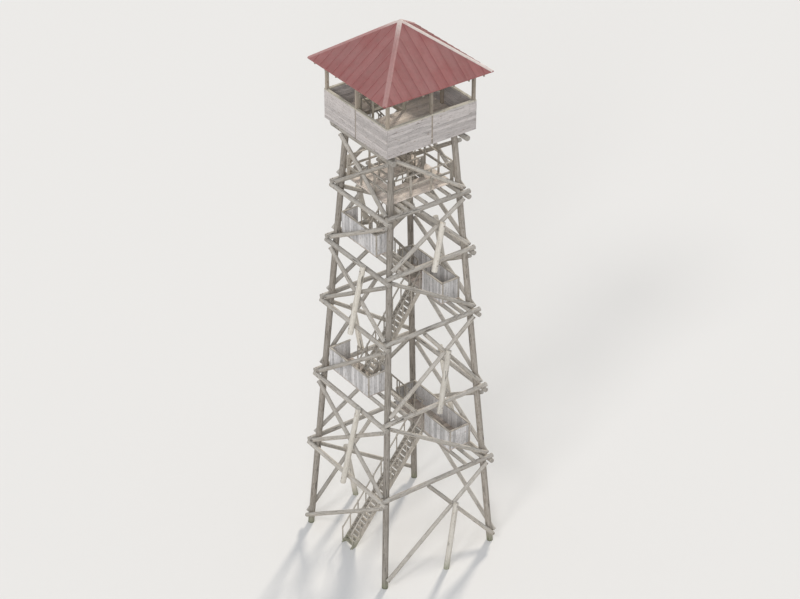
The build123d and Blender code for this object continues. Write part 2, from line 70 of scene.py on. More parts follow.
# %% [markdown]
# ## Reading the solids
# A node of the frame is loose triangles, often of several solids. Merging the corners and dissolving
# the flat edges brings back true faces and edges. The longest edge of a log, board or post runs along
# its grain, and the largest face beside that edge shows which way it is thin.

# %% Take a node apart into solids
MERGE = 2e-5
FLAT_ANGLE = math.radians(0.6)
LEVEL = 1e-4
SQUARE = 0.02


def merged(node):
    """A mesh of a node with shared corners and whole flat faces."""
    bm = bmesh.new()
    bm.from_mesh(nodes[node].data)
    bmesh.ops.remove_doubles(bm, verts=bm.verts, dist=MERGE)
    bmesh.ops.dissolve_limit(bm, angle_limit=FLAT_ANGLE, verts=bm.verts, edges=bm.edges)
    bm.faces.index_update()
    return bm


def shells(bm):
    """The faces of each closed shell."""
    left = set(bm.faces)
    found = []
    while left:
        waiting = [min(left, key=lambda f: f.index)]
        shell = set(waiting)
        while waiting:
            face = waiting.pop()
            for edge in face.edges:
                for other in edge.link_faces:
                    if other not in shell:
                        shell.add(other)
                        waiting.append(other)
        left -= shell
        found.append(sorted(shell, key=lambda f: f.index))
    return found


def measured(shell):
    """Axes, middle and size of a solid: along its grain, across it, and through its thickness."""
    edges = {edge for face in shell for edge in face.edges}
    longest = max(edges, key=lambda e: (round(e.calc_length(), 5), -e.index))
    along = (longest.verts[1].co - longest.verts[0].co).normalized()
    if along.z < -LEVEL or (abs(along.z) <= LEVEL and along.x + along.y < 0):
        along = -along
    beside = [f for f in shell if abs(f.normal.dot(along)) < SQUARE]
    thin = max(beside, key=lambda f: (round(f.calc_area(), 5), -f.index)).normal.copy()
    thin = (thin - along * thin.dot(along)).normalized()
    axes = (along, thin.cross(along), thin)
    corners = {v for face in shell for v in face.verts}
    spans = [(min(v.co.dot(a) for v in corners), max(v.co.dot(a) for v in corners)) for a in axes]
    middle = sum((a * (low + high) / 2 for a, (low, high) in zip(axes, spans)), Vector())
    size = Vector([high - low for low, high in spans])
    return SimpleNamespace(axes=axes, middle=middle, size=size)


def solids(node):
    bm = merged(node)
    found = [measured(shell) for shell in shells(bm)]
    bm.free()
    return found


print("landing_b:", [tuple(round(v, 3) for v in s.size) for s in solids("landing_b")])

# %% [markdown]
# ## Small helpers for node trees
# Every tree below, for shapes or for materials, is built with these functions. They add a node, set
# its options, and feed its sockets with plain values or with the outputs of other nodes.

# %% Add a node
def feed(tree, value, socket):
    """Links a node or an output to a socket, or gives the socket a plain value."""
    if isinstance(value, bpy.types.Node):
        value = value.outputs[0]
    if isinstance(value, bpy.types.NodeSocket):
        tree.links.new(value, socket)
    else:
        socket.default_value = value


def add(tree, kind, *values, sockets=None, **options):
    """Adds a node; values go to its sockets in order, and None leaves one as it is."""
    node = tree.nodes.new(kind)
    for option, value in options.items():
        setattr(node, option, value)
    for place, value in [*enumerate(values), *(sockets or {}).items()]:
        if value is not None:
            feed(tree, value, node.inputs[place])
    return node


def shape(tree, kind, *values, **options):
    """Adds a node that works on shapes."""
    return add(tree, f"GeometryNode{kind}", *values, **options)


def sums(tree, operation, *values, clamp=False):
    return add(tree, "ShaderNodeMath", *values, operation=operation, use_clamp=clamp)


def times(tree, *values, clamp=False):
    return sums(tree, "MULTIPLY", *values, clamp=clamp)


def minus(tree, *values):
    return sums(tree, "SUBTRACT", *values)


def over(tree, *values):
    return sums(tree, "DIVIDE", *values)


def vector_sums(tree, operation, *values):
    return add(tree, "ShaderNodeVectorMath", *values, operation=operation)


def scaled(tree, vector, factor):
    return add(tree, "ShaderNodeVectorMath", vector, operation="SCALE", sockets={"Scale": factor})


def point(tree, x, y, z):
    return add(tree, "ShaderNodeCombineXYZ", x, y, z)


def split(tree, vector):
    return add(tree, "ShaderNodeSeparateXYZ", vector).outputs


def ease(tree, value, low, high, out_low=0.0, out_high=1.0):
    """Moves a value softly from one range to another."""
    return add(tree, "ShaderNodeMapRange", value, low, high, out_low, out_high,
               interpolation_type="SMOOTHSTEP")


def noise(tree, place, scale, detail=2.0, roughness=0.5, distortion=0.0):
    return add(tree, "ShaderNodeTexNoise", sockets={
        "Vector": place, "Scale": scale, "Detail": detail, "Roughness": roughness, "Distortion": distortion})


def mix(tree, share, first, second, **options):
    """A colour that goes from the first to the second as the share grows."""
    node = add(tree, "ShaderNodeMix", share, data_type="RGBA", sockets={6: first, 7: second}, **options)
    return node.outputs[2]


# %% [markdown]
# ## Shape trees
# A shape tree has a named input for each of its sizes, and ends in Realize Instances and Set
# Material. `grow` runs a tree on a small helper mesh and brings back a plain mesh.

# %% Make and run a shape tree
SOCKET_KINDS = {int: "NodeSocketInt", float: "NodeSocketFloat"}


def titled(label):
    return label.replace("_", " ").title()


def shape_tree(name, **sizes):
    """An empty tree and its input node, with one named input for each size."""
    tree = bpy.data.node_groups.new(name, "GeometryNodeTree")
    tree.interface.new_socket("Geometry", in_out="INPUT", socket_type="NodeSocketGeometry")
    for label, value in sizes.items():
        kind = SOCKET_KINDS[type(value)]
        socket = tree.interface.new_socket(titled(label), in_out="INPUT", socket_type=kind)
        socket.default_value = value
    tree.interface.new_socket("Material", in_out="INPUT", socket_type="NodeSocketMaterial")
    tree.interface.new_socket("Geometry", in_out="OUTPUT", socket_type="NodeSocketGeometry")
    return tree, add(tree, "NodeGroupInput").outputs


def close_tree(tree, geometry, given):
    real = shape(tree, "RealizeInstances", geometry)
    done = shape(tree, "SetMaterial", real, None, given["Material"])
    add(tree, "NodeGroupOutput", done)


def stored(tree, geometry, name, value, kind="FLOAT", domain="POINT"):
    return shape(tree, "StoreNamedAttribute", geometry, data_type=kind, domain=domain,
                 sockets={"Name": name, "Value": value})


def read(tree, name, kind="FLOAT"):
    return shape(tree, "InputNamedAttribute", name, data_type=kind)


def here(tree):
    return shape(tree, "InputPosition")


def spread(tree, points, item, **sockets):
    """Copies of an item on points, as real geometry."""
    copies = shape(tree, "InstanceOnPoints", points, None, item, sockets=sockets)
    return shape(tree, "RealizeInstances", copies)


def joined(tree, *parts):
    whole = shape(tree, "JoinGeometry")
    for part in parts:
        feed(tree, part, whole.inputs[0])
    return whole


def end_faces(tree):
    """True on the sawn ends of a sweep, the only faces with more than four corners."""
    corners = shape(tree, "InputMeshFaceNeighbors").outputs["Vertex Count"]
    return add(tree, "FunctionNodeCompare", data_type="INT", operation="GREATER_THAN",
               sockets={2: corners, 3: 4})


def rounded_bar(tree, width, height, rounding, start, end):
    """A straight bar with rounded long edges, swept from a rectangle."""
    section = shape(tree, "CurvePrimitiveQuadrilateral", width, height)
    section = shape(tree, "FilletCurve", section, mode="POLY",
                    sockets={"Count": 2, "Radius": rounding, "Limit Radius": True})
    spine = shape(tree, "CurvePrimitiveLine", start, end)
    spine = shape(tree, "SetCurveNormal", spine, mode="Z_UP")
    return shape(tree, "CurveToMesh", spine, section, None, True)


def grow(tree, material, mesh=None, **sizes):
    """Runs a shape tree and returns its result as a plain mesh."""
    mesh = mesh or bpy.data.meshes.new("seed")
    helper = bpy.data.objects.new("helper", mesh)
    scene.collection.objects.link(helper)
    modifier = helper.modifiers.new("shape", "NODES")
    modifier.node_group = tree
    given = {titled(label): value for label, value in sizes.items()}
    given["Material"] = material
    for item in tree.interface.items_tree:
        if item.in_out == "INPUT" and item.name in given:
            modifier[item.identifier] = given[item.name]
    graph = bpy.context.evaluated_depsgraph_get()
    result = bpy.data.meshes.new_from_object(
        helper.evaluated_get(graph), preserve_all_data_layers=True, depsgraph=graph)
    bpy.data.objects.remove(helper)
    bpy.data.meshes.remove(mesh)
    return result


# %% [markdown]
# ## Shared wood effects
# Old wood outdoors loses its brown: sun and rain wash the surface to silver grey, long drying
# cracks open along the grain, and knots stay darker. All wooden pieces carry the attribute `grain`,
# which holds the place in the piece's own timber in metres, with x along the grain. A pattern that
# is stretched along x then follows every log and board, whichever way it points.

# %% Wood grain group
def group(name, inputs, outputs):
    """An empty shader group with its input and output nodes."""
    tree = bpy.data.node_groups.new(name, "ShaderNodeTree")
    for label, value in inputs.items():
        kind = {float: "NodeSocketFloat", tuple: "NodeSocketColor"}.get(type(value), "NodeSocketVector")
        socket = tree.interface.new_socket(label, in_out="INPUT", socket_type=kind)
        if value is not None:
            socket.default_value = value
    for label, kind in outputs.items():
        tree.interface.new_socket(label, in_out="OUTPUT", socket_type=f"NodeSocket{kind}")
    return tree, add(tree, "NodeGroupInput").outputs, add(tree, "NodeGroupOutput").inputs


grain_group, given, result = group(
    "wood_grain",
    {"Grain": None, "End": 0.0, "Streak": 0.012, "Crack": 0.07, "Knot": 0.45, "Ring": 0.006},
    {label: "Float" for label in ("Streaks", "Cracks", "Knots", "Rings", "Relief")},
)
tree = grain_group
LONG_STREAK = 1.6
LONG_CRACK = 0.28
LONG_OPENING, WIDE_OPENING = 1.4, 7.0
WIDEST_CRACK = 0.016
CRACK_EDGE = 0.007
KNOT_OVAL = 2.6
RING_WAVES = 1.6
CHECKS_ROUND = 2.1


def in_grain(along, across):
    """The place in the wood, times one number along the grain and another across it."""
    return vector_sums(tree, "MULTIPLY", given["Grain"], point(tree, along, across, across))


def off_middle(value):
    return sums(tree, "ABSOLUTE", minus(tree, value, 0.5))


off_end = minus(tree, 1.0, given["End"])
streaks = noise(tree, in_grain(LONG_STREAK, over(tree, 1.0, given["Streak"])), 1.0, 5.0, 0.6, 0.2)
crack_noise = noise(tree, in_grain(LONG_CRACK, over(tree, 1.0, given["Crack"])), 1.0, 1.0, 0.4)
opened = noise(tree, in_grain(LONG_OPENING, WIDE_OPENING), 1.0, 1.0)
width = ease(tree, opened, 0.44, 0.62, 0.0, WIDEST_CRACK)
side_cracks = ease(tree, minus(tree, off_middle(crack_noise), width), -CRACK_EDGE, 0.0, 1.0, 0.0)
side_cracks = times(tree, side_cracks, off_end)
knot_place = in_grain(over(tree, 1.0, given["Knot"]), over(tree, KNOT_OVAL, given["Knot"]))
knot_cells = add(tree, "ShaderNodeTexVoronoi", sockets={"Vector": knot_place, "Scale": 1.0})
knots = times(tree, ease(tree, knot_cells, 0.08, 0.16, 1.0, 0.0), off_end)
across = split(tree, given["Grain"])
pith = point(tree, 0.0, across["Y"], across["Z"])
radius = vector_sums(tree, "LENGTH", pith).outputs["Value"]
wavy = noise(tree, given["Grain"], 9.0)
turns = sums(tree, "MULTIPLY_ADD", wavy, RING_WAVES, over(tree, radius, given["Ring"]))
rings = sums(tree, "MULTIPLY_ADD", sums(tree, "SINE", times(tree, turns, math.tau)), 0.5, 0.5)
check_place = scaled(tree, vector_sums(tree, "NORMALIZE", pith), CHECKS_ROUND)
check_noise = noise(tree, vector_sums(tree, "ADD", check_place, given["Grain"]), 1.0, 1.0)
checks = times(tree, ease(tree, off_middle(check_noise), 0.003, 0.012, 1.0, 0.0), given["End"])
cracks = sums(tree, "MAXIMUM", side_cracks, checks)
relief = minus(tree, times(tree, streaks, 0.55), cracks)
relief = sums(tree, "MULTIPLY_ADD", knots, 0.5, relief)
for label, value in (("Streaks", streaks), ("Cracks", cracks), ("Knots", knots), ("Rings", rings),
                     ("Relief", relief)):
    feed(tree, value, result[label])
print("group:", grain_group.name, len(grain_group.nodes), "nodes")

# %% [markdown]
# Weather works from outside. Faces that look up are bleached and hold pale dust, faces that look
# down stay darker and warmer, and large soft patches break up both. Near the ground, splashed soil
# and green algae stain the wood.

# %% Weather group
weather_group, given, result = group(
    "weather",
    {"Color": (0.5, 0.45, 0.4, 1.0), "Streaks": 0.5, "Bleach": 0.5, "Grime": 0.4, "Damp Height": 0.9},
    {"Color": "Color"},
)
tree = weather_group
BLEACHED = (0.62, 0.60, 0.56, 1.0)
GRIME = (0.13, 0.115, 0.09, 1.0)
ALGAE = (0.19, 0.205, 0.125, 1.0)
place = add(tree, "ShaderNodeTexCoord").outputs["Object"]
normal = add(tree, "ShaderNodeNewGeometry").outputs["Normal"]
patches = noise(tree, place, 0.9, 6.0, 0.62)
spots = noise(tree, place, 7.0, 5.0, 0.65)
open_sky = ease(tree, split(tree, normal)["Z"], -0.5, 0.95)
bleaching = times(tree, times(tree, open_sky, given["Bleach"]),
                  ease(tree, patches, 0.3, 0.62, 0.35, 1.0), clamp=True)
color = mix(tree, bleaching, given["Color"], BLEACHED)
along_streaks = sums(tree, "MULTIPLY_ADD", minus(tree, 0.5, given["Streaks"]), 0.9, spots)
dirt = times(tree, given["Grime"], ease(tree, along_streaks, 0.46, 0.74), clamp=True)
color = mix(tree, dirt, color, GRIME)
height = split(tree, place)["Z"]
damp_edge = sums(tree, "MULTIPLY_ADD", spots, 1.2, over(tree, height, given["Damp Height"]))
color = mix(tree, ease(tree, damp_edge, 0.5, 1.5, 0.7, 0.0), color, ALGAE)
feed(tree, color, result["Color"])
print("group:", weather_group.name, len(weather_group.nodes), "nodes")


# %% [markdown]
# ## Materials
# One function makes every wood, because they differ only in colour, in the width of their grain and
# in how far the weather has gone. The piece's own number `tone` makes each log or board a little
# lighter or darker than the next, as in any real stack. The floor of the top landing and the cabin
# floor get a paler, warmer copy of the deck boards: this is painted light, standing in for the sun that falls
# on them.

# %% Wood materials
def group_node(tree, group_tree, **sockets):
    """Adds a group and returns its outputs."""
    node = tree.nodes.new("ShaderNodeGroup")
    node.node_tree = group_tree
    for label, value in sockets.items():
        feed(tree, value, node.inputs[label.replace("_", " ")])
    return node.outputs


def empty_material(name, color):
    material = bpy.data.materials.new(name)
    material.use_nodes = True
    material.diffuse_color = color
    tree = material.node_tree
    return material, tree, tree.nodes["Principled BSDF"]


def attribute(tree, name, output="Fac"):
    return add(tree, "ShaderNodeAttribute", attribute_name=name).outputs[output]


def tinted(color, *factors):
    """A colour times one factor, or times one for each channel."""
    factors = factors * 3 if len(factors) == 1 else factors
    return [c * f for c, f in zip(color, factors)] + [1.0]


def surfaced(tree, surface, color, roughness, height, strength, distance):
    """Gives a surface its colour, roughness and fine relief."""
    bump = add(tree, "ShaderNodeBump", sockets={"Strength": strength, "Distance": distance, "Height": height})
    for label, value in (("Base Color", color), ("Roughness", roughness), ("Normal", bump)):
        feed(tree, value, surface.inputs[label])


NAIL_RUST = (0.10, 0.062, 0.042, 1.0)
KNOT_BROWN = (0.60, 0.47, 0.36)
KNOT_SHARE, CRACK_SHARE = 0.75, 0.85
END_DARK, END_PALE, CRACK_DARK = 0.72, 0.92, 0.22
WOOD_SHEEN = 0.25


def wood(name, pale, dark, streak=0.012, crack=0.07, knot=0.45, bleach=0.5, grime=0.35, tone_range=0.35,
         relief=0.003):
    """A weathered wood from two colours of its grain."""
    material, tree, surface = empty_material(name, pale)
    grain = attribute(tree, "grain", "Vector")
    tone, end, nail = [attribute(tree, label) for label in ("tone", "end", "nail")]
    figure = group_node(tree, grain_group, Grain=grain, End=end, Streak=streak, Crack=crack, Knot=knot)
    color = mix(tree, ease(tree, figure["Streaks"], 0.34, 0.66), dark, pale)
    color = mix(tree, times(tree, figure["Knots"], KNOT_SHARE), color, tinted(dark, *KNOT_BROWN))
    lift = ease(tree, tone, 0.0, 1.0, 1.0 - tone_range / 2, 1.0 + tone_range / 2)
    color = mix(tree, 1.0, color, lift, blend_type="MULTIPLY")
    ringed = mix(tree, figure["Rings"], tinted(dark, END_DARK), tinted(pale, END_PALE))
    color = mix(tree, end, color, ringed)
    weathered = group_node(tree, weather_group, Color=color, Streaks=figure["Streaks"], Bleach=bleach,
                           Grime=grime)["Color"]
    color = mix(tree, times(tree, figure["Cracks"], CRACK_SHARE), weathered, tinted(dark, CRACK_DARK))
    color = mix(tree, nail, color, NAIL_RUST)
    roughness = ease(tree, figure["Streaks"], 0.3, 0.7, 0.92, 0.72)
    surfaced(tree, surface, color, roughness, figure["Relief"], 0.8, relief)
    surface.inputs["Specular IOR Level"].default_value = WOOD_SHEEN
    return material


SAWN = {"streak": 0.007, "crack": 0.03, "relief": 0.002}
TIMBER = {"streak": 0.008, "crack": 0.04, "relief": 0.002}
leg_log = wood("leg_log", (0.39, 0.355, 0.31, 1), (0.215, 0.185, 0.155, 1), streak=0.016, crack=0.10,
               bleach=0.35, grime=0.45)
beam_log = wood("beam_log", (0.52, 0.485, 0.435, 1), (0.32, 0.285, 0.24, 1), crack=0.09)
brace_log = wood("brace_log", (0.51, 0.475, 0.425, 1), (0.31, 0.275, 0.23, 1), crack=0.09)
prop_log = wood("prop_log", (0.76, 0.725, 0.655, 1), (0.58, 0.53, 0.45, 1), crack=0.11, grime=0.2)
deck_board = wood("deck_board", (0.74, 0.645, 0.575, 1), (0.56, 0.465, 0.40, 1), bleach=0.45,
                  tone_range=0.5, **SAWN)
# A paler copy of the deck boards: painted sunlight for the top landing and the cabin floor.
painted_light_board = wood("painted_light_board", (0.88, 0.795, 0.72, 1), (0.75, 0.65, 0.575, 1), bleach=0.3, grime=0.2,
                   tone_range=0.4, **SAWN)
guard_board = wood("guard_board", (0.70, 0.69, 0.69, 1), (0.55, 0.53, 0.52, 1), tone_range=0.45, **SAWN)
stair_timber = wood("stair_timber", (0.50, 0.46, 0.40, 1), (0.33, 0.29, 0.24, 1), **TIMBER)
parapet_board = wood("parapet_board", (0.58, 0.54, 0.525, 1), (0.44, 0.40, 0.38, 1), bleach=0.35,
                     grime=0.25, tone_range=0.3, **SAWN)
rail_timber = wood("rail_timber", (0.70, 0.66, 0.55, 1), (0.52, 0.47, 0.37, 1), **SAWN)
cabin_timber = wood("cabin_timber", (0.42, 0.36, 0.29, 1), (0.25, 0.205, 0.16, 1), bleach=0.3, **TIMBER)
print("woods:", sorted(m.name for m in bpy.data.materials if m.use_nodes and m.node_tree.nodes.get("Bump")))

# %% [markdown]
# The roof is painted sheet steel. Its red has turned dusty, and rain has drawn long faint streaks down
# the slopes. The cap strips have faded further. At the top and along the back right hip they turn nearly
# white: this is a painted highlight, which stands in for the sun catching the caps there.

# %% Paint and steel materials
# The first colour is the pale of a painted highlight on the cap strips; the others are steel and rust.
HIGHLIGHT_PALE = (0.80, 0.72, 0.66, 1.0)
RAIN_RUNS = (0.5, 14.0, 14.0)
STEEL = (0.34, 0.34, 0.34, 1.0)
RUST = (0.20, 0.085, 0.04, 1.0)


def painted(name, red, faded, fade, highlight_from=None):
    """Old sheet paint, with runs down the slope along x of the sheet's own attribute."""
    material, tree, surface = empty_material(name, red)
    sheet = attribute(tree, "grain", "Vector")
    runs = noise(tree, vector_sums(tree, "MULTIPLY", sheet, RAIN_RUNS), 1.0, 5.0, 0.6)
    chalk = noise(tree, sheet, 1.7, 7.0, 0.65)
    worn = sums(tree, "MULTIPLY_ADD", runs, 0.5, times(tree, chalk, 0.5))
    color = mix(tree, ease(tree, worn, 0.36, 0.62, fade * 0.3, fade), red, faded)
    lift = ease(tree, attribute(tree, "tone"), 0.0, 1.0, 0.94, 1.06)
    color = mix(tree, 1.0, color, lift, blend_type="MULTIPLY")
    # Painted highlight: near the top and along the back right hip the caps turn pale, standing in for sun
    # catching them.
    if highlight_from:
        place = split(tree, add(tree, "ShaderNodeTexCoord").outputs["Object"])
        top_highlight = ease(tree, place["Z"], highlight_from, highlight_from + 0.6, 0.0, 0.8)
        hip_highlight = ease(tree, sums(tree, "ADD", place["X"], place["Y"]), 0.1, 0.6, 0.0, 0.9)
        color = mix(tree, sums(tree, "MAXIMUM", top_highlight, hip_highlight), color, HIGHLIGHT_PALE)
    weathered = group_node(tree, weather_group, Color=color, Bleach=0.10, Grime=0.22)["Color"]
    roughness = ease(tree, chalk, 0.3, 0.7, 0.42, 0.62)
    surfaced(tree, surface, weathered, roughness, noise(tree, sheet, 2.6), 0.35, 0.02)
    return material


roof_sheet = painted("roof_sheet", (0.275, 0.068, 0.062, 1), (0.335, 0.118, 0.115, 1), 0.8)
# The caps carry a painted highlight from 28 m up and along the back right hip.
roof_cap = painted("roof_cap", (0.36, 0.14, 0.13, 1), (0.47, 0.25, 0.24, 1), 1.0, highlight_from=28.0)

bolt_steel, tree, surface = empty_material("bolt_steel", (0.3, 0.29, 0.28, 1))
rust = noise(tree, add(tree, "ShaderNodeTexCoord").outputs["Object"], 38.0, 5.0)
color = mix(tree, ease(tree, rust, 0.46, 0.62), STEEL, RUST)
feed(tree, ease(tree, rust, 0.46, 0.62, 0.85, 0.1), surface.inputs["Metallic"])
surfaced(tree, surface, color, ease(tree, rust, 0.46, 0.62, 0.42, 0.85), rust, 0.4, 0.001)
print("materials:", len(bpy.data.materials))


# %% [markdown]
# ## Putting pieces in the scene
# Meshes of one node are joined to one piece. The piece rides on the tower's only body and stands for
# the node it replaces, which is hidden.

# %% Join meshes to a piece
def piece(name, meshes, replaced=()):
    objects = [bpy.data.objects.new(name, mesh) for mesh in meshes]
    for item in objects:
        scene.collection.objects.link(item)
    whole = objects[0]
    if len(objects) > 1:
        with bpy.context.temp_override(active_object=whole, object=whole, selected_objects=objects,
                                       selected_editable_objects=objects):
            bpy.ops.object.join()
    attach(whole, "root")
    if replaced:
        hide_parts(*replaced)
    return whole


# %% [markdown]
# ## Peeled logs
# A peeled log is nearly round, a little crooked, thicker at its butt than at its top, and lumpy
# where branches were. Geometry Nodes follow one straight edge for each log: the edge is resampled,
# bent by noise between its ends, given a radius that falls away, and swept with a circle. Lumps only
# sink in, so a log never grows out of the solid that it stands for.

# %% The peeled log tree
log_tree, given = shape_tree("peeled_log", spacing=0.16, sides=22, bend=0.010, lumps=0.007, taper=0.05,
                             seed=1)
tree = log_tree
OWN_SEED, OWN_PLACE = 61.0, 97.0
LONG_CROOK = 0.45
LUMP_SCALE = (2.4, 7.0, 7.0)
tone = read(tree, "tone")
spline = shape(tree, "SplineParameter").outputs
line = shape(tree, "MeshToCurve", given["Geometry"])
line = shape(tree, "ResampleCurve", line, mode="LENGTH", sockets={"Length": given["Spacing"]})
crook = add(tree, "ShaderNodeTexNoise", noise_dimensions="4D", sockets={
    "Vector": here(tree), "Scale": LONG_CROOK, "Detail": 1.0,
    "W": sums(tree, "MULTIPLY_ADD", tone, OWN_SEED, given["Seed"])})
crook = vector_sums(tree, "SUBTRACT", crook.outputs["Color"], (0.5, 0.5, 0.5))
held = sums(tree, "SINE", times(tree, spline["Factor"], math.pi))
crook = scaled(tree, crook, times(tree, held, given["Bend"]))
line = shape(tree, "SetPosition", line, sockets={"Offset": crook})
thinner = minus(tree, 1.0, times(tree, spline["Factor"], given["Taper"]))
line = stored(tree, line, "girth", times(tree, read(tree, "radius"), thinner))
line = stored(tree, line, "along", spline["Length"])
ring = shape(tree, "CurvePrimitiveCircle", given["Sides"], sockets={"Radius": 1.0})
ring = stored(tree, ring, "section", here(tree), kind="FLOAT_VECTOR")
skin = shape(tree, "CurveToMesh", line, ring, read(tree, "girth"), True)
section = scaled(tree, read(tree, "section", "FLOAT_VECTOR"), read(tree, "girth"))
section = split(tree, section)
along = sums(tree, "ADD", read(tree, "along"), times(tree, tone, OWN_PLACE))
grain = point(tree, along, section["X"], section["Y"])
skin = stored(tree, skin, "grain", grain, kind="FLOAT_VECTOR")
lumps = noise(tree, vector_sums(tree, "MULTIPLY", grain, LUMP_SCALE), 1.0)
sink = times(tree, lumps, times(tree, given["Lumps"], -1.0))
sunk = scaled(tree, shape(tree, "InputNormal"), sink)
skin = shape(tree, "SetPosition", skin, sockets={"Offset": sunk})
cap = end_faces(tree)
skin = stored(tree, skin, "end", cap, domain="FACE")
smooth = shape(tree, "SetShadeSmooth", skin, None, True)
smooth = shape(tree, "SetShadeSmooth", smooth, cap, False)
close_tree(tree, smooth, given)
print("tree:", log_tree.name, len(log_tree.nodes), "nodes")

# %% [markdown]
# The axes of the logs come from the solids: an axis runs through the middle of the solid along its
# grain, and the radius is half the distance between opposite flats. The lower end is the butt.

# %% Read axes and grow logs
RNG = random.Random(7)
LOG_SIDES_RATIO = 1.35
SIDES = ("front", "right", "back", "left")
all_logs = []


def log_axes(node):
    """The logs of a node: solids about as wide as they are thick, and much longer."""
    logs = []
    for solid in solids(node):
        half = solid.axes[0] * solid.size[0] / 2
        logs.append(SimpleNamespace(
            node=node, start=solid.middle - half, end=solid.middle + half, radius=solid.size[2] / 2,
            tone=RNG.random(), wide=solid.size[1] / solid.size[2]))
    return [log for log in logs if log.wide < LOG_SIDES_RATIO]


def axis_mesh(logs):
    mesh = bpy.data.meshes.new("axes")
    ends = [place for log in logs for place in (log.start, log.end)]
    mesh.from_pydata(ends, [(2 * i, 2 * i + 1) for i in range(len(logs))], [])
    for name in ("radius", "tone"):
        values = mesh.attributes.new(name, "FLOAT", "POINT").data
        for i, log in enumerate(logs):
            values[2 * i].value = values[2 * i + 1].value = getattr(log, name)
    return mesh


def cut_level(mesh, height, keep_above):
    """Saws a mesh level at a height and closes the cut."""
    bm = bmesh.new()
    bm.from_mesh(mesh)
    geometry = [*bm.verts, *bm.edges, *bm.faces]
    cut = bmesh.ops.bisect_plane(bm, geom=geometry, plane_co=(0, 0, height), plane_no=(0, 0, 1),
                                 clear_inner=keep_above, clear_outer=not keep_above)
    edges = [e for e in cut["geom_cut"] if isinstance(e, bmesh.types.BMEdge)]
    closed = bmesh.ops.holes_fill(bm, edges=edges)
    end = bm.faces.layers.float.get("end")
    for face in closed["faces"]:
        face[end] = 1.0
        face.smooth = False
    bmesh.ops.recalc_face_normals(bm, faces=bm.faces)
    bm.to_mesh(mesh)
    bm.free()


STIFF, SLIM = 0.004, 0.024
OVER_CUT = 0.02
GROUND = 0.0


def peeled_logs(name, material, sawn=(), bend=0.010, longer=0.0):
    """Grows the logs of a node; sawn heights cut them level."""
    logs = log_axes(name)
    all_logs.extend(logs)
    drawn = [SimpleNamespace(**vars(log)) for log in logs]
    for log in drawn:
        reach = (log.end - log.start).normalized() * longer
        log.start, log.end = log.start - reach, log.end + reach
    mesh = grow(log_tree, material, axis_mesh(drawn), seed=len(all_logs), bend=bend)
    for height, keep_above in sawn:
        cut_level(mesh, height, keep_above)
    piece(f"{name}_logs", [mesh], [name])


for corner in ("front_left", "front_right", "back_right", "back_left"):
    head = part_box(f"leg_{corner}")[1].z
    peeled_logs(f"leg_{corner}", leg_log, sawn=((GROUND, True), (head, False)), bend=STIFF,
                longer=OVER_CUT)
for node in ("ring_a", "ring_b", "ring_c", "ring_d", "ring_e", "cabin_ring"):
    peeled_logs(node, beam_log)
for side in SIDES:
    peeled_logs(f"braces_{side}", brace_log, bend=SLIM)
    sawn = ((GROUND, True),) if side in ("right", "left") else ()
    peeled_logs(f"props_{side}", prop_log, sawn=sawn, bend=SLIM)
print("logs so far:", len(all_logs))

# %% [markdown]
# ## Boards
# Decks, guards and walls are solid panels in the frame. On the real tower each is a row of boards
# with narrow gaps, and pairs of rusty nail heads show where the boards cross their supports. A tree
# fills a panel in its own flat frame, x along the boards: a line of points, and on each a board
# swept from a rectangle with rounded edges, a hair shorter or lower than its neighbours. The panel's
# axes then carry the row to its place.

# %% The row of boards tree
board_tree, given = shape_tree(
    "board_row", length=1.0, width=1.0, board_width=0.145, gap=0.008, thickness=0.03, rounding=0.003,
    uneven=0.002, ragged=0.006, supports=3, inset=0.07, nail_radius=0.0045, seed=1)
tree = board_tree
NAIL_HEIGHT = 0.004
NAIL_SHARE = 0.27
OWN_WOOD = (43.0, 7.7, 3.1)
pitch_wish = sums(tree, "ADD", given["Board Width"], given["Gap"])
count = sums(tree, "MAXIMUM", sums(tree, "ROUND", over(tree, given["Width"], pitch_wish)), 1.0)
pitch = over(tree, given["Width"], count)
first = times(tree, minus(tree, pitch, given["Width"]), 0.5)
row = shape(tree, "MeshLine", count, None, point(tree, 0.0, first, 0.0), point(tree, 0.0, pitch, 0.0))
own_width = minus(tree, pitch, given["Gap"])
own_thickness = minus(tree, given["Thickness"], times(tree, given["Uneven"], 2.0))
board = rounded_bar(tree, own_width, own_thickness, given["Rounding"], (-0.5, 0.0, 0.0), (0.5, 0.0, 0.0))
nail = shape(tree, "MeshCylinder", 6, None, None, given["Nail Radius"], NAIL_HEIGHT)
nail_end = minus(tree, 0.5, over(tree, given["Inset"], given["Length"]))
spaces = sums(tree, "MAXIMUM", minus(tree, given["Supports"], 1.0), 1.0)
between = over(tree, times(tree, nail_end, 2.0), spaces)
nail_level = minus(tree, times(tree, own_thickness, 0.5), NAIL_HEIGHT * 0.25)
nail_lines = []
for hand in (-NAIL_SHARE, NAIL_SHARE):
    start = point(tree, times(tree, nail_end, -1.0), times(tree, own_width, hand), nail_level)
    nail_lines.append(shape(tree, "MeshLine", given["Supports"], None, start, point(tree, between, 0.0, 0.0)))
unstretched = point(tree, over(tree, 1.0, given["Length"]), 1.0, 1.0)
nails = spread(tree, joined(tree, *nail_lines), nail, Scale=unstretched)
board = joined(tree, board, stored(tree, nails, "nail", 1.0))
index = shape(tree, "InputIndex")


def chance(low, high, kind_seed):
    """A number for each board, between two bounds."""
    seed = sums(tree, "ADD", given["Seed"], float(kind_seed))
    return add(tree, "FunctionNodeRandomValue", data_type="FLOAT",
               sockets={2: low, 3: high, 7: index, 8: seed}).outputs[1]


